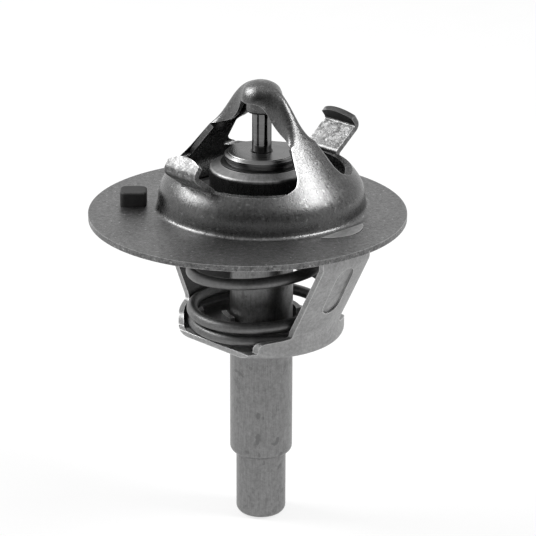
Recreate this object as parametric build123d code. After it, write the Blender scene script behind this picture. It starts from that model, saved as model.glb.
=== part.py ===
from build123d import *
import math
import os

# Engine thermostat, millimetres, +Z up.
# The origin is the centre of the flange's top face. The stem axis stands beside it, because the
# flange is struck off centre from the bell that it is drawn with.
# Each piece is built about the stem axis and then moved to its place.

# Driving dimensions of the whole
FLANGE_DIAMETER = 48.0
LENGTH_BELOW_FLANGE = 51.0
STEM_X = 2.1
STEM_Y = 2.6
ARM_DIRECTION = -45.0

# Stamped sheets
CAGE_SHEET = 0.85
FRAME_SHEET = 0.8
VALVE_SHEET = 0.8

# How far a cutter runs past what it cuts
CUT_PAST = 1.0

# Bell of the upper cage, outer surface
BELL_FOOT_RADIUS = 15.75
BELL_FOOT_FILLET = 0.8
BELL_BELLY = 0.4
BELL_SHOULDER_RADIUS = 13.7
BELL_SHOULDER_HEIGHT = 5.7
CONE_FOOT_RADIUS = 12.0
CONE_FOOT_HEIGHT = 7.75
NECK_RADIUS = 9.0
NECK_HEIGHT = 11.5

# Windows of the upper cage, seen square to the arms
WINDOW_HALF_WIDTH = 12.5
WINDOW_NECK_HALF_WIDTH = 8.63
WINDOW_CORNER = 0.8

# Bridge over the piston
CROWN_HEIGHT = 19.6
CROWN_HALF_WIDTH = 3.3
STRAP_HALF_WIDTH = 1.55
POCKET_RADIUS = 2.4
POCKET_MOUTH_HEIGHT = 14.8
POCKET_DEPTH = 3.55

# Hook tabs beside the windows, the rear one bent out further than the front one
TAB_WIDTH = 6.4
TAB_ROOT_RISE = 0.78
TAB_ARM_FRONT = 4.5
TAB_ARM_REAR = 5.55
TAB_ARM_ANGLE = 37.0
TAB_HOOK = 2.75
TAB_HOOK_ANGLE = 54.0
TAB_END_ROUND = 0.9
TAB_BEND = 0.78

# Vent pin in the flange, its place seen from the stem axis
VENT_BELL_GAP = 3.658
VENT_DIRECTION = 178.67
VENT_HEAD_WIDTH = 4.0
VENT_HEAD_DEPTH = 3.7
VENT_HEAD_HEIGHT = 2.2
VENT_HOLE_RADIUS = 1.2
VENT_SHANK_RADIUS = 0.95
VENT_FOOT_RADIUS = 1.65
VENT_FOOT_HEIGHT = 1.1
VENT_LIFT = 0.8

# Lower frame, outer surface
FRAME_FLOOR_HEIGHT = -20.4
FRAME_CUP_RADIUS = 12.75
FRAME_WALL_TOP = -17.1
FRAME_WALL_FALL = 0.7
FRAME_WALL_HALF_SPAN = 9.3
FRAME_CHORD = 10.3
ARM_HALF_WIDTH = 5.0
ARM_FOOT_HEIGHT = -16.5
ARM_TOP_RADIUS = 18.5
ARM_BEND_HEIGHT = -4.9
TONGUE_HALF_WIDTH = 4.4
TONGUE_INSET = 1.75
TONGUE_OVERHANG = 0.5
TONGUE_PROUD = 0.12
SLOT_CLEARANCE = 0.12
GUIDE_TONGUE_HEIGHT = 2.6
GUIDE_TONGUE_WIDTH = 3.4
GUIDE_TONGUE_TURN = -22.0
BEAD_HALF_WIDTH = 1.75
BEAD_DEPTH = 0.3
BEAD_TOP = -5.5
BEAD_BOTTOM = -13.7

# Wax element
COLLAR_RADIUS = 7.9
COLLAR_TOP = 6.2
COLLAR_BOTTOM = -2.6
STEM_RADIUS = 4.85
STEM_SHOULDER_DEPTH = 40.5
TAIL_RADIUS = 3.87
CUP_WALL = 0.85
GUIDE_TOP = 8.6
GUIDE_HEAD_RADIUS = 5.65
GUIDE_BOSS_RADIUS = 6.15
GUIDE_NECK_RADIUS = 5.35
GUIDE_FLANGE_FOOT = 4.2
SLEEVE_FLANGE = 0.8
SLEEVE_RADIUS = 3.1
SLEEVE_BOTTOM = -17.0
SLEEVE_END = 1.3
WASHER_RADIUS = 3.4
WASHER_THICKNESS = 0.8

# Piston
PISTON_RADIUS = 1.48
PISTON_LENGTH = 33.5
RUNNING_CLEARANCE = 0.03
SEATED_CLEARANCE = 0.02

# Main valve
VALVE_PLATE_TOP = -1.0
VALVE_PLATE_RADIUS = 14.5
VALVE_HUB_TOP = 2.2
SEAL_RADIUS = 15.15
SEAL_INNER_RADIUS = 13.3
SEAL_LIP = 0.6
SEAT_GAP = 0.05

# Main spring
WIRE_DIAMETER = 1.75
SPRING_RADIUS = 10.72
SPRING_FOOT_RADIUS = 10.3
SPRING_TURNS = 3.75
SPRING_FOOT_TURNS = 1.3
SPRING_HEAD_TURNS = 0.75
SPRING_CLOSED_PITCH = 1.95
SPRING_END_AZIMUTH = 160.0


def frame_turned(shape):
    """Turn a piece modelled with its arms along X into the direction of the arms."""
    return Rot(0, 0, ARM_DIRECTION) * shape


def placed(shape):
    """Move a piece modelled about the stem axis to its place beside the flange's centre."""
    return Pos(STEM_X, STEM_Y, 0) * shape


def turned(*points):
    """Revolve a closed outline of radius and height about the stem axis."""
    outline = Polyline(*[(r, 0, z) for r, z in points], close=True)
    return revolve(make_face(outline), Axis.Z)


def ring(outer, inner, low, high):
    """A plain ring, or a disc where inner is zero."""
    body = Pos(0, 0, low) * Cylinder(outer, high - low, align=(Align.CENTER, Align.CENTER, Align.MIN))
    if inner:
        body -= Pos(0, 0, low - CUT_PAST) * Cylinder(
            inner, high - low + 2 * CUT_PAST, align=(Align.CENTER, Align.CENTER, Align.MIN)
        )
    return body


def slab(x0, x1, y0, y1, z0, z1):
    """A box given by its limits."""
    size = Box(x1 - x0, y1 - y0, z1 - z0)
    return Pos((x0 + x1) / 2, (y0 + y1) / 2, (z0 + z1) / 2) * size


def even_strip(points, radii, thickness):
    """A bent strip of even thickness about a line of radius and height, in the XZ plane."""
    line = FilletPolyline(*[(r, z) for r, z in points], radius=radii)
    strip = make_face(offset(line, thickness / 2, side=Side.BOTH, kind=Kind.INTERSECTION))
    return Plane.XZ * strip


def bell_line(inwards):
    """The bell's wall from flange to neck, moved inwards, as a smooth curve and a cone."""
    foot = Vector(BELL_FOOT_RADIUS, 0, BELL_FOOT_FILLET)
    belly = Vector(BELL_FOOT_RADIUS - BELL_BELLY, 0, (BELL_FOOT_FILLET + BELL_SHOULDER_HEIGHT) / 2)
    shoulder = Vector(BELL_SHOULDER_RADIUS, 0, BELL_SHOULDER_HEIGHT)
    cone_foot = Vector(CONE_FOOT_RADIUS, 0, CONE_FOOT_HEIGHT)
    neck = Vector(NECK_RADIUS, 0, NECK_HEIGHT)
    upwards = Vector(-0.05, 0, 1)
    curve = Spline(foot, belly, shoulder, cone_foot, tangents=[upwards, neck - cone_foot])
    steps = 8
    points = []
    for i in range(steps + 1):
        tangent = curve % (i / steps)
        points.append(curve @ (i / steps) + Vector(-tangent.Z, 0, tangent.X) * inwards)
    slope = (neck - cone_foot).normalized()
    end = neck + Vector(-slope.Z, 0, slope.X) * inwards
    wall = Spline(*points, tangents=[curve % 0, slope])
    return [wall, Line(wall @ 1, end)]


def bell_height(radius):
    """Height of the bell's outer cone at a radius."""
    fall = (NECK_HEIGHT - CONE_FOOT_HEIGHT) / (CONE_FOOT_RADIUS - NECK_RADIUS)
    return NECK_HEIGHT - (radius - NECK_RADIUS) * fall


def bell():
    """The drawn bell as a shell of even thickness."""
    outer = bell_line(0)
    inner = bell_line(CAGE_SHEET)
    foot_r = BELL_FOOT_RADIUS + BELL_FOOT_FILLET
    centre = Vector(foot_r, 0, BELL_FOOT_FILLET)
    diagonal = Vector(-1, 0, -1).normalized()
    edges = [
        ThreePointArc((foot_r, 0, 0), centre + diagonal * BELL_FOOT_FILLET, outer[0] @ 0),
        *outer,
        Line(outer[1] @ 1, inner[1] @ 1),
        *inner,
        ThreePointArc(
            inner[0] @ 0, centre + diagonal * (BELL_FOOT_FILLET + CAGE_SHEET), (foot_r, 0, -CAGE_SHEET)
        ),
        Line((foot_r, 0, -CAGE_SHEET), (foot_r, 0, 0)),
    ]
    return revolve(make_face(edges), Axis.Z)


def windows():
    """Both windows of the bell in one cutter that runs square to the arms."""
    side = [
        (WINDOW_HALF_WIDTH, BELL_SHOULDER_HEIGHT),
        (WINDOW_HALF_WIDTH - 1.15, CONE_FOOT_HEIGHT),
        (WINDOW_NECK_HALF_WIDTH, NECK_HEIGHT),
        (WINDOW_NECK_HALF_WIDTH, NECK_HEIGHT + 3 * CUT_PAST),
    ]
    right = [(x, 0, z) for x, z in side]
    left = [(-x, 0, z) for x, z in reversed(side)]
    outline = make_face(Polyline(*right, *left, close=True))
    cutter = extrude(outline, amount=30, both=True)
    corners = cutter.edges().filter_by(Axis.Y).group_by(Axis.Z)[0]
    cutter = fillet(corners, WINDOW_CORNER)
    reach = NECK_HEIGHT + BELL_SHOULDER_HEIGHT + CUT_PAST
    spread = reach * neck_half_width() / WINDOW_NECK_HALF_WIDTH
    fan = make_face(Polyline((0, 0), (reach, spread), (reach, -spread), close=True))
    keep = Pos(0, 0, -CUT_PAST) * extrude(fan, amount=reach)
    return cutter - keep - Rot(0, 0, 180) * keep


def neck_half_width():
    """Half the arm's width where it leaves the bell."""
    return math.sqrt(NECK_RADIUS ** 2 - WINDOW_NECK_HALF_WIDTH ** 2)


def hoop_arc(half_width, crest, foot, opening):
    """The part of an ellipse that spans a section, open by an angle to each side of its crest."""
    turn = math.radians(opening)
    x_radius = half_width / math.sin(turn)
    y_radius = (crest - foot) / (1 - math.cos(turn))
    return EllipticalCenterArc(
        (0, crest - y_radius), x_radius, y_radius, start_angle=90 - opening, arc_size=2 * opening
    )


def strap_section(x, half_width, crest, foot, opening, slope):
    """One hooped cross section of the bridge, square to the arms."""
    wall = CAGE_SHEET
    drop = wall * math.sqrt(1 + slope * slope)
    turn = math.radians(opening)
    outer = hoop_arc(half_width, crest, foot, opening)
    inner_foot = foot - drop * math.cos(turn)
    inner_crest = max(crest - drop, inner_foot + 0.15)
    inner = hoop_arc(half_width - wall * math.sin(turn), inner_crest, inner_foot, opening)
    feet = [Line(outer @ 0, inner @ 0), Line(outer @ 1, inner @ 1)]
    section = make_face([outer, inner, *feet])
    return Plane(origin=(x, 0, 0), x_dir=(0, 1, 0), z_dir=(1, 0, 0)) * section


def bridge():
    """The hooped strap that joins both arms over the piston and swells into a crown."""
    crown = CROWN_HALF_WIDTH
    strap = STRAP_HALF_WIDTH
    neck = neck_half_width()
    root = WINDOW_NECK_HALF_WIDTH
    rise = CROWN_HEIGHT - NECK_HEIGHT
    # place along the arm, half width, crest and foot as shares of the rise, opening, slope
    shares = [
        (0.0, crown, 1.0, 0.635, 90, 0.0),
        (0.139, crown * 0.92, 0.982, 0.645, 90, 0.2),
        (0.267, crown * 0.68, 0.935, 0.575, 90, 0.45),
        (0.394, strap * 1.12, 0.865, 0.375, 90, 0.75),
        (0.533, strap, 0.75, 0.21, 90, 1.05),
        (0.66, strap, 0.6, 0.12, 85, 1.3),
        (0.765, strap * 1.12, 0.445, 0.08, 68, 1.4),
        (0.846, strap * 1.3, 0.315, 0.05, 50, 1.4),
        (0.927, neck * 0.92, 0.183, 0.025, 34, 1.3),
    ]
    stations = [
        (x * root, width, NECK_HEIGHT + crest * rise, NECK_HEIGHT + foot * rise, opening, slope)
        for x, width, crest, foot, opening, slope in shares
    ]
    opening, slope = 22, 1.25
    stations.append((root, neck, bell_height(root) + 0.04, NECK_HEIGHT, opening, slope))
    sections = [strap_section(-x, *rest) for x, *rest in reversed(stations[1:])]
    sections += [strap_section(*station) for station in stations]
    strap_body = loft(sections)
    buried = root + CAGE_SHEET
    inner_end = (buried, neck + 0.2, bell_height(buried) - 0.03, bell_height(buried + 0.4), opening, slope)
    foot = loft([strap_section(*stations[-1]), strap_section(*inner_end)], ruled=True)
    return strap_body + foot + Rot(0, 0, 180) * foot


def piston_pocket():
    """The pressed seat under the crown that holds the piston's end."""
    top = POCKET_MOUTH_HEIGHT + POCKET_DEPTH + 0.55
    body = ring(POCKET_RADIUS, 0, POCKET_MOUTH_HEIGHT, top)
    body = fillet(pick(body, POCKET_MOUTH_HEIGHT, POCKET_RADIUS), 0.4)
    body = fillet(pick(body, top, POCKET_RADIUS), 1.0)
    hole = ring(PISTON_RADIUS + SEATED_CLEARANCE, 0, POCKET_MOUTH_HEIGHT - 1, POCKET_MOUTH_HEIGHT + POCKET_DEPTH)
    return body, hole


def heading(angle):
    """Unit vector in the XZ plane at an angle above the X axis."""
    return Vector(math.cos(math.radians(angle)), math.sin(math.radians(angle)))


def hook_tab(arm):
    """A tab bent outwards from the bell's shoulder and hooked back at its rounded end."""
    root = Vector(BELL_SHOULDER_RADIUS - CAGE_SHEET / 2 - 0.05, BELL_SHOULDER_HEIGHT - 0.45)
    knee = root + Vector(0.1, TAB_ROOT_RISE)
    elbow = knee + heading(TAB_ARM_ANGLE) * arm
    back = heading(180 - TAB_HOOK_ANGLE)
    tip = elbow + back * TAB_HOOK
    line = [(v.X, v.Y) for v in (root, knee, elbow, tip)]
    strip = extrude(even_strip(line, [0.5, TAB_BEND], CAGE_SHEET), amount=TAB_WIDTH / 2, both=True)
    half = TAB_WIDTH / 2
    corner = TAB_HOOK - TAB_END_ROUND
    end = ThreePointArc((-half, corner), (0, TAB_HOOK), (half, corner))
    foot = -2 * arm
    sides = Polyline(end @ 1, (half, foot), (-half, foot), end @ 0)
    plane = Plane(
        origin=(elbow.X, 0, elbow.Y), x_dir=(0, 1, 0), z_dir=Vector(0, 1, 0).cross(Vector(back.X, 0, back.Y))
    )
    trim = extrude(plane * make_face([end, sides]), amount=2 * arm, both=True)
    return Rot(0, 0, 90) * (strip & trim)


def tongue_outline(clearance, low, high):
    """The rounded end of an arm, or with a clearance the slot that it passes through."""
    root = ARM_TOP_RADIUS - TONGUE_INSET - clearance
    tip = ARM_TOP_RADIUS + TONGUE_OVERHANG + clearance
    half = TONGUE_HALF_WIDTH + clearance
    arc = ThreePointArc((root, -half), (tip, 0), (root, half))
    body = extrude(make_face([arc, Line(arc @ 1, arc @ 0)]), amount=high - low)
    body = Pos(0, 0, low) * body
    return body + Rot(0, 0, 180) * body


def upper_cage():
    """Flange, bell, bridge, pocket and hook tabs, stamped from one sheet."""
    cage = bell() - windows()
    cage += bridge()
    pocket, hole = piston_pocket()
    cage += pocket
    cage += Rot(0, 0, 180) * hook_tab(TAB_ARM_FRONT)
    cage += hook_tab(TAB_ARM_REAR)
    cage -= hole
    cage = frame_turned(cage)
    disc = Pos(-STEM_X, -STEM_Y, -CAGE_SHEET) * Cylinder(
        FLANGE_DIAMETER / 2, CAGE_SHEET, align=(Align.CENTER, Align.CENTER, Align.MIN)
    )
    low = -CAGE_SHEET - CUT_PAST
    disc -= ring(BELL_FOOT_RADIUS + BELL_FOOT_FILLET, 0, low, CUT_PAST)
    slots = frame_turned(tongue_outline(SLOT_CLEARANCE, low, CUT_PAST))
    vent_hole = vent_place() * ring(VENT_HOLE_RADIUS, 0, low, CUT_PAST)
    return cage + disc - slots - vent_hole


def frame_outline():
    """The strap seen along its arms: floor, upturned walls and straight arms."""
    floor = FRAME_FLOOR_HEIGHT
    arm = ARM_HALF_WIDTH
    wall = FRAME_WALL_HALF_SPAN
    side = [
        (arm, -CAGE_SHEET - 0.02, 0),
        (arm, FRAME_WALL_TOP, 0.6),
        (wall, FRAME_WALL_TOP - FRAME_WALL_FALL, 1.2),
        (wall, floor + FRAME_SHEET + 0.3, 0.25),
        (FRAME_CHORD, floor + FRAME_SHEET, 0.25),
        (FRAME_CHORD, floor - CUT_PAST, 0),
    ]
    points = side + [(-y, z, r) for y, z, r in reversed(side)]
    line = FilletPolyline(*[(y, z) for y, z, r in points], radius=[r for y, z, r in points], close=True)
    return Plane.YZ * make_face(line)


def arm_layer(inner, outer):
    """A layer of the arms' cone between two distances from the middle of the sheet."""
    half = FRAME_SHEET / 2
    foot = Vector(FRAME_CUP_RADIUS - half, 0, ARM_FOOT_HEIGHT)
    top = Vector(ARM_TOP_RADIUS - half, 0, ARM_BEND_HEIGHT)
    along = (top - foot).normalized()
    out = Vector(along.Z, 0, -along.X)
    corners = [foot + out * inner, foot + out * outer, top + out * outer, top + out * inner]
    return turned(*[(v.X, v.Z) for v in corners])


def arm_bead():
    """The long oval pressed into each arm: what leaves its outer face, what its inner face gains."""
    half = FRAME_SHEET / 2
    radius = BEAD_HALF_WIDTH
    outline = SlotCenterToCenter(BEAD_TOP - BEAD_BOTTOM - 2 * radius, 2 * radius, rotation=90)
    middle = (BEAD_TOP + BEAD_BOTTOM) / 2
    slot = extrude(Plane.YZ * (Pos(0, middle) * outline), amount=ARM_TOP_RADIUS + CUT_PAST, both=True)
    groove = arm_layer(half - BEAD_DEPTH, half + CUT_PAST) & slot
    ridge = arm_layer(-half - BEAD_DEPTH, -half + BEAD_DEPTH / 2) & slot
    return groove, ridge


def lower_frame():
    """Cup, conical arms and clinched tongues, stamped from one strap."""
    half = FRAME_SHEET / 2
    floor = FRAME_FLOOR_HEIGHT + half
    cup = FRAME_CUP_RADIUS - half
    top = ARM_TOP_RADIUS - half
    bore = STEM_RADIUS + 0.5
    points = [
        (bore, floor),
        (cup, floor),
        (cup, ARM_FOOT_HEIGHT),
        (top, ARM_BEND_HEIGHT),
        (top, -CAGE_SHEET + 0.3),
    ]
    shell = revolve(even_strip(points, [0.75, 1.5, 1.5], FRAME_SHEET), Axis.Z)
    frame = shell & extrude(frame_outline(), amount=ARM_TOP_RADIUS + CUT_PAST, both=True)
    groove, ridge = arm_bead()
    frame -= groove
    frame += ridge
    frame += tongue_outline(0, TONGUE_PROUD - FRAME_SHEET, TONGUE_PROUD)
    frame += shell & tongue_outline(0, -CAGE_SHEET - 0.1, 0)
    high = floor + half + GUIDE_TONGUE_HEIGHT
    collar = ring(bore + FRAME_SHEET, bore, floor, high)
    width = GUIDE_TONGUE_WIDTH / 2
    span = bore + FRAME_SHEET + CUT_PAST
    frame += Rot(0, 0, GUIDE_TONGUE_TURN) * (collar & slab(-width, width, -span, span, floor, high))
    return frame_turned(frame)


def wax_cup():
    """The deep drawn cup with its collar crimped over the guide."""
    stem = STEM_RADIUS
    tail_z = -LENGTH_BELOW_FLANGE
    step_z = -STEM_SHOULDER_DEPTH
    inner = stem - CUP_WALL
    pocket = COLLAR_RADIUS - 0.7
    ledge = GUIDE_FLANGE_FOOT - SLEEVE_FLANGE
    crimp_edge = GUIDE_BOSS_RADIUS + 0.1
    body = turned(
        (0, tail_z),
        (TAIL_RADIUS, tail_z),
        (TAIL_RADIUS, step_z),
        (stem, step_z),
        (stem, COLLAR_BOTTOM - 2.0),
        (COLLAR_RADIUS, COLLAR_BOTTOM),
        (COLLAR_RADIUS, COLLAR_TOP),
        (crimp_edge, COLLAR_TOP + 0.7),
        (crimp_edge, COLLAR_TOP + 0.1),
        (pocket, COLLAR_TOP - 0.3),
        (pocket, ledge),
        (inner, ledge),
        (inner, step_z + 1.7),
        (0, step_z + 1.7),
    )
    body = fillet(pick(body, tail_z, TAIL_RADIUS), 1.1)
    body = fillet(pick(body, step_z, stem), 0.9)
    return fillet(pick(body, COLLAR_TOP, COLLAR_RADIUS), 0.5)


def pick(body, height, radius):
    """The circular edges of a turned body at one height and radius."""
    circles = body.edges().filter_by(GeomType.CIRCLE)
    return circles.filter_by(lambda e: abs(e.center().Z - height) < 0.01 and abs(e.radius - radius) < 0.01)


def guide_head():
    """The turned guide that the piston slides in."""
    bore = PISTON_RADIUS + RUNNING_CLEARANCE
    foot = GUIDE_FLANGE_FOOT
    flange = COLLAR_RADIUS - 0.7 - 0.05
    flange_top = COLLAR_TOP - 0.32
    washer = WASHER_RADIUS + 0.05
    body = turned(
        (washer, foot),
        (flange, foot),
        (flange, flange_top),
        (GUIDE_BOSS_RADIUS, COLLAR_TOP + 0.05),
        (GUIDE_BOSS_RADIUS, COLLAR_TOP + 0.85),
        (GUIDE_NECK_RADIUS, COLLAR_TOP + 1.0),
        (GUIDE_NECK_RADIUS, GUIDE_TOP - 1.1),
        (GUIDE_HEAD_RADIUS, GUIDE_TOP - 0.95),
        (GUIDE_HEAD_RADIUS, GUIDE_TOP - 0.4),
        (GUIDE_HEAD_RADIUS - 0.35, GUIDE_TOP - 0.1),
        (GUIDE_HEAD_RADIUS - 0.55, GUIDE_TOP - 0.1),
        (GUIDE_HEAD_RADIUS - 0.65, GUIDE_TOP),
        (bore + 0.25, GUIDE_TOP),
        (bore, GUIDE_TOP - 0.25),
        (bore, foot + WASHER_THICKNESS + 0.03),
        (washer, foot + WASHER_THICKNESS + 0.03),
    )
    return body


def backup_washer():
    """The stiff washer that keeps the sleeve out of the piston's bore."""
    foot = GUIDE_FLANGE_FOOT
    return ring(WASHER_RADIUS, PISTON_RADIUS + RUNNING_CLEARANCE, foot + 0.01, foot + WASHER_THICKNESS)


def rubber_sleeve():
    """The flanged boot that the wax squeezes along the piston."""
    foot = GUIDE_FLANGE_FOOT
    bore = PISTON_RADIUS + 0.05
    return turned(
        (bore, foot),
        (COLLAR_RADIUS - 0.75, foot),
        (COLLAR_RADIUS - 0.75, foot - SLEEVE_FLANGE),
        (SLEEVE_RADIUS, foot - SLEEVE_FLANGE),
        (SLEEVE_RADIUS, SLEEVE_BOTTOM),
        (0, SLEEVE_BOTTOM),
        (0, SLEEVE_BOTTOM + SLEEVE_END),
        (bore, SLEEVE_BOTTOM + SLEEVE_END),
    )


def wax_charge():
    """The sealed wax that fills the cup around the sleeve."""
    outer = STEM_RADIUS - CUP_WALL - 0.02
    top = GUIDE_FLANGE_FOOT - SLEEVE_FLANGE - 0.02
    bottom = -STEM_SHOULDER_DEPTH + 1.72
    return turned(
        (0, bottom),
        (outer, bottom),
        (outer, top),
        (SLEEVE_RADIUS + 0.02, top),
        (SLEEVE_RADIUS + 0.02, SLEEVE_BOTTOM - 0.02),
        (0, SLEEVE_BOTTOM - 0.02),
    )


def piston():
    """The ground pin that stands in the cage's pocket."""
    top = POCKET_MOUTH_HEIGHT + POCKET_DEPTH
    body = ring(PISTON_RADIUS, 0, top - PISTON_LENGTH, top)
    return chamfer(body.edges().filter_by(GeomType.CIRCLE), 0.25)


def main_valve():
    """The stamped plate with the drawn hub that is pressed on the cup's collar."""
    hub = COLLAR_RADIUS
    top = VALVE_PLATE_TOP
    bottom = top - VALVE_SHEET
    body = turned(
        (hub, bottom),
        (VALVE_PLATE_RADIUS, bottom),
        (VALVE_PLATE_RADIUS, top),
        (hub + VALVE_SHEET + 0.9, top),
        (hub + VALVE_SHEET, top + 0.9),
        (hub + VALVE_SHEET, VALVE_HUB_TOP),
        (hub, VALVE_HUB_TOP),
    )
    return fillet(pick(body, VALVE_HUB_TOP, hub + VALVE_SHEET), 0.35)


def seat_line():
    """Radius plus height of the cone that clears the bell's rounded mouth by the seat gap."""
    centre = BELL_FOOT_RADIUS + BELL_FOOT_FILLET + BELL_FOOT_FILLET
    mouth = BELL_FOOT_FILLET + CAGE_SHEET + SEAT_GAP
    return centre - mouth * math.sqrt(2)


def valve_seal():
    """The moulded ring round the valve plate's rim."""
    top = VALVE_PLATE_TOP
    bottom = top - VALVE_SHEET
    cone = seat_line()
    crest = cone - (SEAL_RADIUS - 0.4)
    gap = 0.02
    return turned(
        (SEAL_INNER_RADIUS, top + gap),
        (VALVE_PLATE_RADIUS + gap, top + gap),
        (VALVE_PLATE_RADIUS + gap, bottom - gap),
        (SEAL_INNER_RADIUS, bottom - gap),
        (SEAL_INNER_RADIUS, bottom - SEAL_LIP),
        (SEAL_RADIUS - 0.45, bottom - SEAL_LIP),
        (SEAL_RADIUS, bottom),
        (SEAL_RADIUS, cone - SEAL_RADIUS),
        (SEAL_RADIUS - 0.4, crest),
        (SEAL_INNER_RADIUS + 0.5, crest),
    )


def spring_height(turns):
    """Height of the wire's centre after so many turns from its foot."""
    low = FRAME_FLOOR_HEIGHT + FRAME_SHEET + WIRE_DIAMETER / 2
    high = VALVE_PLATE_TOP - VALVE_SHEET - WIRE_DIAMETER / 2
    foot = SPRING_FOOT_TURNS
    head = SPRING_HEAD_TURNS
    open_turns = SPRING_TURNS - foot - head
    foot_rise = SPRING_CLOSED_PITCH * foot
    head_rise = SPRING_CLOSED_PITCH * head * 0.6
    open_rise = high - low - foot_rise - head_rise
    if turns <= foot:
        return low + foot_rise * turns / foot
    if turns >= SPRING_TURNS - head:
        return high - head_rise * (SPRING_TURNS - turns) / head
    return low + foot_rise + open_rise * (turns - foot) / open_turns


def main_spring():
    """The right-handed coil between the lower frame and the valve plate."""
    steps_per_turn = 8
    count = int(SPRING_TURNS * steps_per_turn)
    points = []
    for i in range(count + 1):
        turns = SPRING_TURNS * i / count
        smooth = sum(spring_height(min(max(turns + d, 0), SPRING_TURNS)) for d in (-0.16, -0.08, 0, 0.08, 0.16)) / 5
        taper = min(turns / SPRING_FOOT_TURNS, 1)
        radius = SPRING_FOOT_RADIUS + (SPRING_RADIUS - SPRING_FOOT_RADIUS) * taper
        angle = math.radians(SPRING_END_AZIMUTH + 360 * turns)
        points.append((radius * math.cos(angle), radius * math.sin(angle), smooth))
    path = Spline(*points)
    start = Plane(origin=path @ 0, z_dir=path % 0)
    wire = start * Circle(WIRE_DIAMETER / 2)
    return sweep(wire, path=path, is_frenet=True)


def vent_place():
    """Where the vent pin stands outside the bell's foot, as a move from the stem axis."""
    radius = BELL_FOOT_RADIUS + VENT_BELL_GAP
    turn = math.radians(VENT_DIRECTION)
    return Pos(radius * math.cos(turn), radius * math.sin(turn), 0)


def vent_pin():
    """The loose pin that lets trapped air through the flange."""
    head = Pos(0, 0, VENT_HEAD_HEIGHT / 2 + 0.02) * Box(VENT_HEAD_WIDTH, VENT_HEAD_DEPTH, VENT_HEAD_HEIGHT)
    head = fillet(head.edges().filter_by(Axis.Z), 0.9)
    head = fillet(head.faces().sort_by(Axis.Z)[-1].edges(), 0.3)
    foot_top = -CAGE_SHEET - VENT_LIFT - 0.05
    shank = ring(VENT_SHANK_RADIUS, 0, foot_top, 0.1)
    foot = ring(VENT_FOOT_RADIUS, 0, foot_top - VENT_FOOT_HEIGHT, foot_top)
    foot = chamfer(foot.edges().filter_by(GeomType.CIRCLE).group_by(Axis.Z)[0], 0.5)
    return vent_place() * (head + shank + foot)


def main():
    os.makedirs("parts", exist_ok=True)
    pieces = {
        "upper_cage": upper_cage,
        "lower_frame": lower_frame,
        "main_spring": main_spring,
        "piston": piston,
        "guide_head": guide_head,
        "wax_cup": wax_cup,
        "backup_washer": backup_washer,
        "rubber_sleeve": rubber_sleeve,
        "wax_charge": wax_charge,
        "main_valve": main_valve,
        "valve_seal": valve_seal,
        "vent_pin": vent_pin,
    }
    for name, build in pieces.items():
        export_step(placed(build()), f"parts/{name}.step")


main()
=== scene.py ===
import math

import bpy
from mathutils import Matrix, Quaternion, Vector


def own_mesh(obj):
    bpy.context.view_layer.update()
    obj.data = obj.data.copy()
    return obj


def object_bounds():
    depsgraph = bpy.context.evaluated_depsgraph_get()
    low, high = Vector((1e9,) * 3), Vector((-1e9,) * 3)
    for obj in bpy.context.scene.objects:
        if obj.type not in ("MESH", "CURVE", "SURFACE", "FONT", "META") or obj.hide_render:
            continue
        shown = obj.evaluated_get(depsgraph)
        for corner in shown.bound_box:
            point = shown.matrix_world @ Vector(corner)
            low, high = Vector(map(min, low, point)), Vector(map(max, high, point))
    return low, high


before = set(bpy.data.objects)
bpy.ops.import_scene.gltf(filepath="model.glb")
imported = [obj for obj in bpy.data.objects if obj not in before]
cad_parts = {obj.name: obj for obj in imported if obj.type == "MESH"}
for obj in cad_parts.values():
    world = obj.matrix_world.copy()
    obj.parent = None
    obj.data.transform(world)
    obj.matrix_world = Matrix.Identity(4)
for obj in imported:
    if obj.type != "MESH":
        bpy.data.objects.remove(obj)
cad_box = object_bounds()

# The stem's axis beside the flange's centre, in metres
STEM = Vector((0.0021, 0.0026, 0.0))

# The photograph's frame, and the camera that was fitted to it
FRAME_PIXELS = 536.0
FOCAL_PIXELS = 2640.0
STEM_PIXEL = (261.5, 204.5)
SENSOR_WIDTH = 36.0
CAMERA_DISTANCE = 0.4
CAMERA_ELEVATION = math.radians(19.27)
CAMERA_ROLL = math.radians(0.2)
NEAREST_SEEN = 0.01

# Zones of the cage and the cup, each from nothing to full: radii and heights about the stem's axis
BELL_RADIUS = (0.0166, 0.0158)
FOOT_RING_START = (0.0167, 0.0171)
FOOT_RING_END = (0.0190, 0.0178)
TAB_RADIUS = (0.0134, 0.0140)
TAB_HEIGHT = (0.0060, 0.0066)
REAR_HOOK_END = (0.0110, 0.0113)
COLLAR_FOOT = (-0.0035, -0.0025)
COLLAR_TOP = (0.0062, 0.0057)

# How wide the rubbed edges and their painted highlights are
CAGE_EDGE = 0.00018
FRAME_EDGE = 0.00025
CUP_EDGE = 0.0002
HEAD_EDGE = 0.00015
EDGE_SAMPLES = 4

# Depths of the fine relief
CAGE_RELIEF = 0.00006
FRAME_RELIEF = 0.00008
CUP_RELIEF = 0.00006
HEAD_RELIEF = 0.00002
PISTON_RELIEF = 0.000005
FINE_RELIEF = 0.00001

# The studio: what gloss loses of the white behind the camera and on the right, the even light,
# and how much of the floor shows as plain white
ROOM_DARK = 0.85
RIGHT_DARK = 0.4
AMBIENT = 0.5
FLOOR_SHARE = 0.72
FLOOR_SIZE = 3.0
LAMP_DISTANCE = 0.5


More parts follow.
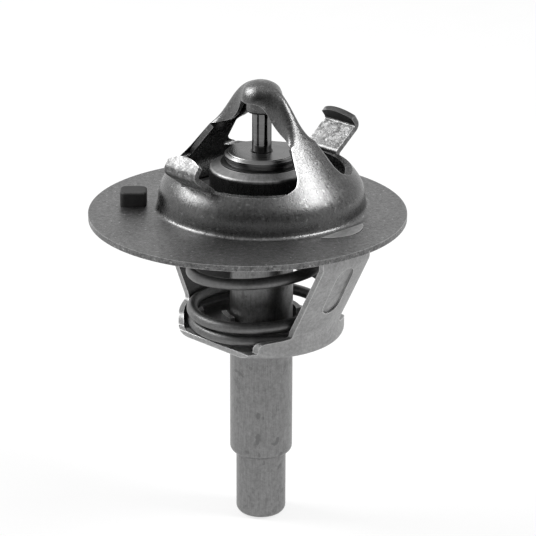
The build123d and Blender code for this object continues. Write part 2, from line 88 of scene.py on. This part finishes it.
class Wire:
    """A shader socket that can be combined like a number."""

    def __init__(self, tree, socket):
        self.tree = tree
        self.socket = socket

    def node(self, kind, fed, out=0, **settings):
        """A further node of that kind, fed with sockets or plain values by input name or number."""
        made = self.tree.nodes.new(kind)
        for key, value in settings.items():
            setattr(made, key, value)
        for key, value in fed.items():
            if isinstance(value, Wire):
                self.tree.links.new(value.socket, made.inputs[key])
            else:
                made.inputs[key].default_value = value
        return Wire(self.tree, made.outputs[out])

    def beside(self, out):
        """Another output of the node that this socket is on."""
        return Wire(self.tree, self.socket.node.outputs[out])

    def math(self, operation, *others):
        """A Math node's result, with this socket first."""
        fed = dict(enumerate((self, *others)))
        return self.node("ShaderNodeMath", fed, operation=operation)

    def __add__(self, other):
        return self.math("ADD", other)

    def __radd__(self, other):
        return self.math("ADD", other)

    def __sub__(self, other):
        return self.math("SUBTRACT", other)

    def __rsub__(self, other):
        return (self * -1.0).math("ADD", other)

    def __mul__(self, other):
        return self.math("MULTIPLY", other)

    def __rmul__(self, other):
        return self.math("MULTIPLY", other)

    def __truediv__(self, other):
        return self.math("DIVIDE", other)

    def greater(self, other):
        """The greater of this and another socket or value."""
        return self.math("MAXIMUM", other)

    def spread(self, low, high, to_low=0.0, to_high=1.0):
        """The socket's stretch from low to high laid over another stretch, and held at its ends."""
        fed = {"Value": self, 1: low, 2: high, 3: to_low, 4: to_high}
        return self.node("ShaderNodeMapRange", fed, clamp=True)

    def noise(self, scale, detail, roughness):
        """Noise over this vector."""
        fed = {"Vector": self, "Scale": scale, "Detail": detail, "Roughness": roughness}
        return self.node("ShaderNodeTexNoise", fed)

    def stretched(self, x, y, z):
        """This vector times a factor along each axis."""
        return self.node("ShaderNodeVectorMath", {0: self, 1: (x, y, z)}, operation="MULTIPLY")

    def parts(self):
        """This vector's x, y and z."""
        x = self.node("ShaderNodeSeparateXYZ", {0: self})
        return x, x.beside(1), x.beside(2)

    def grey(self, dark, light):
        """A neutral colour that runs from dark to light as this goes from 0 to 1."""
        low = (dark, dark, dark, 1.0)
        high = (light, light, light, 1.0)
        fed = {0: self.math("MINIMUM", 1.0).greater(0.0), 6: low, 7: high}
        return self.node("ShaderNodeMix", fed, out=2, data_type="RGBA")


def new_material(name):
    """A material with its shader and its object coordinates."""
    material = bpy.data.materials.new(name)
    material.use_nodes = True
    tree = material.node_tree
    shader = tree.nodes["Principled BSDF"]
    place = Wire(tree, tree.nodes.new("ShaderNodeTexCoord").outputs["Object"])
    return material, shader, place


def about_stem(place):
    """Object coordinates about the stem's axis: their parts, the radius and the angle."""
    fed = {0: place, 1: tuple(STEM)}
    x, y, z = place.node("ShaderNodeVectorMath", fed, operation="SUBTRACT").parts()
    radius = (x * x + y * y).math("SQRT")
    angle = y.math("ARCTAN2", x)
    return x, y, z, radius, angle


def joined(x, y, z):
    """A vector from three parts, of which the first is a socket."""
    return x.node("ShaderNodeCombineXYZ", {0: x, 1: y, 2: z})


def feed(material, shader, metallic, colour, roughness, height, depth):
    """Connects what varies over the surface to the shader, and sets the metallic share."""
    links = material.node_tree.links
    shader.inputs["Metallic"].default_value = metallic
    links.new(colour.socket, shader.inputs["Base Color"])
    links.new(roughness.socket, shader.inputs["Roughness"])
    fed = {"Height": height, "Distance": depth, "Strength": 1.0}
    normal = height.node("ShaderNodeBump", fed)
    links.new(normal.socket, shader.inputs["Normal"])
    return material


def rubbed_edges_and_painted_glint(place, width):
    """One on the edges of a piece, within that width, and nothing on its faces: rubbed edges, and a
    painted highlight along them.
    """
    rounded = place.node("ShaderNodeBevel", {"Radius": width}, samples=EDGE_SAMPLES)
    plain = place.node("ShaderNodeNewGeometry", {}, out="Normal")
    fed = {0: rounded, 1: plain}
    same = rounded.node("ShaderNodeVectorMath", fed, out="Value", operation="DOT_PRODUCT")
    return same.spread(0.985, 0.90)


def facing(x, y, radius):
    """How far the surface faces away from the stem's axis, below zero towards it, and how far up."""
    nx, ny, nz = x.node("ShaderNodeNewGeometry", {}, out="Normal").parts()
    return (x * nx + y * ny) / radius, nz


def burnished_cage():
    """Drawn sheet, rubbed bright in patches, with short strokes up the bell and mottle on the flange;
    painted shade on the inner side and in the hooks, and painted highlight on the tabs and edges.
    """
    material, shader, place = new_material("burnished_cage")
    x, y, z, radius, angle = about_stem(place)
    outward, upward = facing(x, y, radius)
    on_bell = radius.spread(*BELL_RADIUS)
    on_flange = 1.0 - on_bell
    on_tabs = radius.spread(*TAB_RADIUS) * z.spread(*TAB_HEIGHT)
    # Painted shade: the inner side of the bell and bridge, the inside of the hooks and the rear hook's end
    painted_overhang_shade = outward.spread(-0.05, -0.3) * upward.spread(-0.05, -0.2)
    painted_inner_shade = outward.spread(-0.75, -0.9).greater(painted_overhang_shade) * (1.0 - on_tabs)
    painted_hook_inside = outward.spread(-0.3, -0.6) * upward.spread(0.0, -0.3)
    painted_hook_shade = on_tabs * painted_hook_inside.greater(z.spread(*REAR_HOOK_END))
    # Marks of the drawing and of use
    clouds = place.noise(170.0, 5.0, 0.65)
    patches = place.noise(60.0, 3.0, 0.5)
    strokes = joined(angle * 0.016, radius * 0.1, z * 0.12).noise(4200.0, 3.0, 0.65)
    grain = place.noise(2300.0, 4.0, 0.8)
    flecks = place.noise(1700.0, 1.0, 0.5).spread(0.69, 0.74)
    nicks = place.stretched(0.5, 1.0, 1.0).noise(1300.0, 2.0, 0.6).spread(0.66, 0.70)
    mottle = place.noise(1500.0, 5.0, 0.9).spread(0.40, 0.60)
    scuffs = place.stretched(1.0, 1.0, 0.9).noise(520.0, 5.0, 0.8).spread(0.45, 0.56)
    # The tabs: lighter where rubbed, plus a painted highlight that is strongest on faces turned towards
    # the axis
    tab_rubbing_and_painted_highlight = on_tabs * (0.75 - scuffs * 1.1) * (1.0 + outward.spread(0.2, -0.2))
    residue = place.noise(2600.0, 3.0, 0.8).spread(0.50, 0.60) * patches.spread(0.45, 0.60)
    foot_ring = radius.spread(*FOOT_RING_START) * radius.spread(*FOOT_RING_END) * residue
    marks = strokes * on_bell * 0.3 + grain * (1.0 - on_bell * 0.3)
    tone = (clouds * 0.2 + marks * 0.6 + patches * 0.2).spread(0.38, 0.64)
    # Painted highlight along the edges, with their rubbing
    bright = tone * 0.27 + (flecks + nicks) * 0.2 + rubbed_edges_and_painted_glint(place, CAGE_EDGE) * 0.6
    bright = bright + on_flange * (mottle * 0.27 - 0.065 + flecks * 0.3) + foot_ring * 0.22
    # Painted shade takes the light out of the inner side and the hooks; the tabs are lighter from rubbing
    # and from painted highlight
    bright = bright * (1.0 - painted_inner_shade) * (1.0 + tab_rubbing_and_painted_highlight) * (1.0 - painted_hook_shade * 0.95)
    roughness = (marks * 0.7 + patches * 0.3).spread(0.38, 0.62, 0.20, 0.36)
    roughness = roughness + on_flange * 0.10 + painted_hook_shade * 0.35
    height = marks * 0.85 + clouds * 0.15
    return feed(material, shader, 1.0, bright.grey(0.067, 0.46), roughness, height, CAGE_RELIEF)


def dull_frame():
    """Lighter sheet, dull and cloudy, rubbed bright along its edges with a painted highlight there, and
    with painted shade on its inner side.
    """
    material, shader, place = new_material("dull_frame")
    x, y, _, radius, _ = about_stem(place)
    outward, _ = facing(x, y, radius)
    painted_inner_shade = outward.spread(-0.5, -0.75)
    speckle = place.noise(2000.0, 4.0, 0.75)
    clouds = place.noise(330.0, 5.0, 0.7)
    tone = (speckle * 0.5 + clouds * 0.5).spread(0.38, 0.64)
    # Painted highlight along the edges, painted shade on the faces turned towards the axis
    bright = (tone * 0.32 + 0.29 + rubbed_edges_and_painted_glint(place, FRAME_EDGE) * 0.57) * (1.0 - painted_inner_shade * 0.75)
    roughness = clouds.spread(0.3, 0.7, 0.42, 0.58)
    return feed(material, shader, 0.9, bright.grey(0.08, 0.60), roughness, speckle, FRAME_RELIEF)


def drawn_cup():
    """Drawn metal with faint lengthwise lines, stains and scratches, and a smoother collar darkened with
    painted shade.
    """
    material, shader, place = new_material("drawn_cup")
    _, _, z, _, angle = about_stem(place)
    lines = joined(angle * 0.005, 0.0, z * 0.04).noise(6500.0, 3.0, 0.7)
    speckle = place.noise(1500.0, 4.0, 0.8)
    stains = place.stretched(1.0, 1.0, 0.7).noise(420.0, 5.0, 0.8).spread(0.56, 0.68)
    scratches = place.stretched(1.0, 0.35, 0.7).noise(900.0, 1.0, 0.5).spread(0.70, 0.73)
    collar_with_painted_shade = z.spread(*COLLAR_FOOT) * z.spread(*COLLAR_TOP)
    tone = (lines * 0.45 + speckle * 0.55).spread(0.36, 0.66) - stains * 0.45 - scratches * 0.5
    # Painted highlight along the edges; painted shade darkens the collar
    bright = tone * (0.5 - collar_with_painted_shade * 0.15) + rubbed_edges_and_painted_glint(place, CUP_EDGE) * 0.6 - collar_with_painted_shade * 0.06
    roughness = (lines * 0.5 + speckle * 0.5).spread(0.3, 0.7, 0.34, 0.46) - collar_with_painted_shade * 0.12
    height = lines * 0.4 + speckle * 0.6
    return feed(material, shader, 0.95, bright.grey(0.15, 0.42), roughness, height, CUP_RELIEF)


def turned_head():
    """Turned metal with concentric tool lines, and slightly rubbed edges with a painted highlight along
    them.
    """
    material, shader, place = new_material("turned_head")
    _, _, z, radius, angle = about_stem(place)
    rings = joined(radius, z, angle * 0.0001).noise(4200.0, 2.0, 0.6)
    clouds = place.noise(420.0, 3.0, 0.6)
    tone = (rings * 0.6 + clouds * 0.4).spread(0.35, 0.68)
    colour = (tone * 0.35 + rubbed_edges_and_painted_glint(place, HEAD_EDGE) * 0.5).grey(0.11, 0.35)
    roughness = rings.spread(0.3, 0.7, 0.25, 0.38)
    return feed(material, shader, 1.0, colour, roughness, rings, HEAD_RELIEF)


def polished_piston():
    """Ground steel with faint lines round it."""
    material, shader, place = new_material("polished_piston")
    lines = place.stretched(0.05, 0.05, 1.0).noise(5200.0, 2.0, 0.5)
    colour = lines.spread(0.35, 0.65).grey(0.13, 0.17)
    roughness = lines.spread(0.3, 0.7, 0.10, 0.16)
    return feed(material, shader, 1.0, colour, roughness, lines, PISTON_RELIEF)


def dark_wire():
    """Dark drawn spring wire with a slight sheen."""
    material, shader, place = new_material("dark_wire")
    clouds = place.noise(420.0, 3.0, 0.6)
    specks = place.noise(2600.0, 2.0, 0.6)
    colour = (clouds * 0.6 + specks * 0.4).spread(0.35, 0.68).grey(0.11, 0.19)
    roughness = clouds.spread(0.3, 0.7, 0.38, 0.5)
    return feed(material, shader, 0.9, colour, roughness, specks, FINE_RELIEF)


def moulded(name, low, high, rough):
    """Rubber, plastic or wax between two greys, evenly rough."""
    material, shader, place = new_material(name)
    clouds = place.noise(700.0, 3.0, 0.6)
    specks = place.noise(3200.0, 2.0, 0.6)
    colour = (clouds * 0.6 + specks * 0.4).spread(0.35, 0.68).grey(low, high)
    roughness = clouds.spread(0.3, 0.7, rough - 0.06, rough + 0.06)
    return feed(material, shader, 0.0, colour, roughness, specks, FINE_RELIEF)


def pale_floor():
    """White paper that shows as the photograph's white ground and keeps the object's shadow."""
    material, shader, place = new_material("pale_floor")
    nodes = material.node_tree.nodes
    links = material.node_tree.links
    seen = place.node("ShaderNodeLightPath", {}, out="Is Camera Ray")
    share = seen.greater(seen.beside("Is Glossy Ray")) * FLOOR_SHARE
    colour = place.noise(90.0, 2.0, 0.5).spread(0.3, 0.7).grey(0.93, 0.95)
    links.new(colour.socket, shader.inputs["Base Color"])
    shader.inputs["Roughness"].default_value = 1.0
    shader.inputs["Specular IOR Level"].default_value = 0.0
    paper = Wire(material.node_tree, shader.outputs[0])
    white = share.node("ShaderNodeEmission", {"Strength": 1.0})
    mix = share.node("ShaderNodeMixShader", {0: share, 1: paper, 2: white})
    links.new(mix.socket, nodes["Material Output"].inputs["Surface"])
    return material


def dress(node, material):
    """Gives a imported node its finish."""
    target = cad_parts[node]
    target.data.materials.clear()
    target.data.materials.append(material)


def soft_lamp(name, turn, rise, width, depth, power):
    """A rectangular lamp aimed at the object, turned to the camera's right and raised, in degrees."""
    light = bpy.data.lights.new(name, "AREA")
    light.shape = "RECTANGLE"
    light.size = width
    light.size_y = depth
    light.energy = power
    turn = math.radians(turn)
    rise = math.radians(rise)
    level = math.cos(rise)
    way = Vector((math.sin(turn) * level, -math.cos(turn) * level, math.sin(rise)))
    lamp = bpy.data.objects.new(name, light)
    lamp.location = way * LAMP_DISTANCE
    lamp.rotation_euler = way.to_track_quat("Z", "Y").to_euler()
    bpy.context.scene.collection.objects.link(lamp)


def make_camera():
    """The photograph's camera, aimed so that no shift is needed."""
    level = math.cos(CAMERA_ELEVATION)
    steep = math.sin(CAMERA_ELEVATION)
    ahead = Vector((0.0, level, -steep))
    up = Vector((0.0, steep, level))
    across = (FRAME_PIXELS / 2 - STEM_PIXEL[0]) / FOCAL_PIXELS
    down = (FRAME_PIXELS / 2 - STEM_PIXEL[1]) / FOCAL_PIXELS
    aim = (ahead + Vector((1.0, 0.0, 0.0)) * across - up * down).normalized()
    camera = bpy.data.objects.new("camera", bpy.data.cameras.new("camera"))
    camera.data.sensor_width = SENSOR_WIDTH
    camera.data.lens = SENSOR_WIDTH * FOCAL_PIXELS / FRAME_PIXELS
    camera.data.clip_start = NEAREST_SEEN
    camera.location = STEM - ahead * CAMERA_DISTANCE
    turn = aim.to_track_quat("-Z", "Y") @ Quaternion((0.0, 0.0, 1.0), CAMERA_ROLL)
    camera.rotation_euler = turn.to_euler()
    bpy.context.scene.collection.objects.link(camera)
    bpy.context.scene.camera = camera


def studio_world():
    """White for the camera, and in gloss too, but there darker behind the camera and to the right."""
    world = bpy.data.worlds.new("studio")
    world.use_nodes = True
    tree = world.node_tree
    ground = tree.nodes["Background"]
    ground.inputs["Color"].default_value = (1.0, 1.0, 1.0, 1.0)
    seen = Wire(tree, tree.nodes.new("ShaderNodeLightPath").outputs["Is Camera Ray"])
    gloss = seen.beside("Is Glossy Ray")
    through = seen.beside("Is Transmission Ray")
    right, fore, _ = Wire(tree, tree.nodes.new("ShaderNodeTexCoord").outputs["Generated"]).parts()
    behind = fore.spread(-0.2, -0.8, 0.0, ROOM_DARK)
    dark = behind.greater(right.spread(0.35, 0.8, 0.0, RIGHT_DARK))
    shown = seen.greater(gloss).greater(through)
    strength = shown * (1.0 - gloss * dark) + (1.0 - shown) * AMBIENT
    tree.links.new(strength.socket, ground.inputs["Strength"])
    return world


def make_studio():
    """Floor, world and two soft lamps, one from the right and one from behind on the left."""
    scene = bpy.context.scene
    scene.view_settings.view_transform = "Standard"
    scene.world = studio_world()
    bpy.ops.mesh.primitive_plane_add(size=FLOOR_SIZE, location=(0.0, 0.0, cad_box[0][2]))
    floor = bpy.context.object
    floor.name = "floor"
    floor.data.materials.append(pale_floor())
    soft_lamp("key_lamp", turn=80.0, rise=45.0, width=0.17, depth=0.17, power=1.6)
    soft_lamp("left_lamp", turn=-105.0, rise=39.0, width=0.26, depth=0.22, power=2.0)


make_camera()
make_studio()
finishes = {
    "upper_cage": burnished_cage(),
    "lower_frame": dull_frame(),
    "main_spring": dark_wire(),
    "piston": polished_piston(),
    "guide_head": turned_head(),
    "wax_cup": drawn_cup(),
    "main_valve": drawn_cup(),
    "backup_washer": moulded("pale_washer", 0.7, 0.8, 0.5),
    "rubber_sleeve": moulded("sleeve_rubber", 0.03, 0.05, 0.6),
    "wax_charge": moulded("wax", 0.3, 0.45, 0.5),
    "valve_seal": moulded("seal_rubber", 0.02, 0.045, 0.55),
    "vent_pin": moulded("vent_plastic", 0.006, 0.014, 0.66),
}
for node_name, finish in finishes.items():
    dress(node_name, finish)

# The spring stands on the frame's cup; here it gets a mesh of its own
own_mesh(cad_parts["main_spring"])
